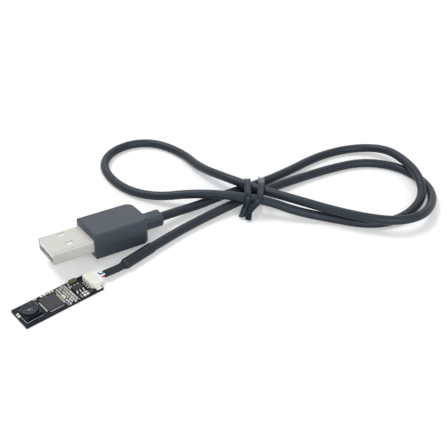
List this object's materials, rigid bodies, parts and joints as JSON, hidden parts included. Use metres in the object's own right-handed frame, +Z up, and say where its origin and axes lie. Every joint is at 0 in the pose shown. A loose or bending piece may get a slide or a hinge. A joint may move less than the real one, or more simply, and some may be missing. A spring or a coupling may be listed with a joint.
{
  "type": "usb camera module",
  "caption": "Narrow circuit-board camera with a screw-focus lens, a detachable coiled lead held by a twist tie, and a USB-A plug at the far end.",
  "frame": {"origin": "middle of the board's underside, on the surface that everything rests on", "axes": "+X along the board from the lens end to the connector end, +Y across the board towards the USB plug, +Z up from the board's component side"},
  "size_m": [0.1558, 0.1116, 0.0115],
  "materials": {
    "board_mask": "satin solder mask",
    "moulded_black": "fine matt moulding",
    "sensor_die": "polished",
    "filter_glass": "polished",
    "lens_glass": "coated",
    "package_grey": "matt moulding compound",
    "package_black": "matt moulding compound",
    "tinned_metal": "tinned, bright",
    "crystal_can": "dull plated can",
    "tantalum_amber": "satin",
    "capacitor_ceramic": "matt fired",
    "resistor_black": "glazed",
    "connector_ivory": "satin moulding",
    "connector_white": "satin moulding",
    "wire_black_insulation": "satin",
    "wire_blue_insulation": "satin",
    "wire_white_insulation": "satin",
    "wire_red_insulation": "satin",
    "shrink_sleeve": "matt",
    "cable_jacket": "soft satin",
    "overmold_grey": "satin moulding",
    "shell_steel": "bright nickel plate",
    "tongue_white": "satin moulding",
    "contact_gold": "gold flashed",
    "tie_slate": "gloss with bright raised edges"
  },
  "bodies": {
    "camera_board": {"board": "board_mask", "lens_holder": "moulded_black", "image_sensor": "sensor_die", "ir_filter": "filter_glass", "image_processor": "package_grey", "processor_pads": "tinned_metal", "flash_memory": "package_black", "flash_leads": "tinned_metal", "crystal": "crystal_can", "voltage_regulator": "package_black", "regulator_leads": "tinned_metal", "tantalum_capacitor": "tantalum_amber", "chip_capacitors": "capacitor_ceramic", "capacitor_terminals": "tinned_metal", "chip_resistors": "resistor_black", "resistor_terminals": "tinned_metal", "header_socket": "connector_ivory", "header_pins": "tinned_metal", "header_tabs": "tinned_metal"},
    "lens_stack": {"front_lens": "lens_glass", "lens_stop": "moulded_black", "rear_lens": "lens_glass"},
    "lens_barrel": {"lens_barrel": "moulded_black"},
    "lead": {"plug_housing": "connector_white", "crimp_terminals": "tinned_metal", "wire_black": "wire_black_insulation", "wire_blue": "wire_blue_insulation", "wire_white": "wire_white_insulation", "wire_red": "wire_red_insulation", "inner_sleeve": "shrink_sleeve", "outer_sleeve": "shrink_sleeve", "cable": "cable_jacket", "strain_relief": "overmold_grey", "plug_overmold": "overmold_grey", "inner_mould": "moulded_black", "plug_shell": "shell_steel", "plug_tongue": "tongue_white", "plug_contacts": "contact_gold", "twist_tie": "tie_slate"}
  },
  "joints": [
    {"name": "lens_focus_slide", "type": "slide", "parent": "camera_board", "child": "lens_stack", "axis": [0, 0, 1], "range_m": [-0.0000875, 0.000175]},
    {"name": "lens_turn", "type": "hinge", "parent": "lens_stack", "child": "lens_barrel", "pos_m": [-0.00965, 0, 0.0023], "axis": [0, 0, 1], "range_deg": [-90, 180]},
    {"name": "lead_unplug", "type": "slide", "parent": "camera_board", "child": "lead", "axis": [1, 0, 0], "range_m": [0, 0.004]}
  ],
  "couplings": [
    {"joint": "lens_turn", "follows": "lens_focus_slide", "rad_per_m": 17952}
  ]
}
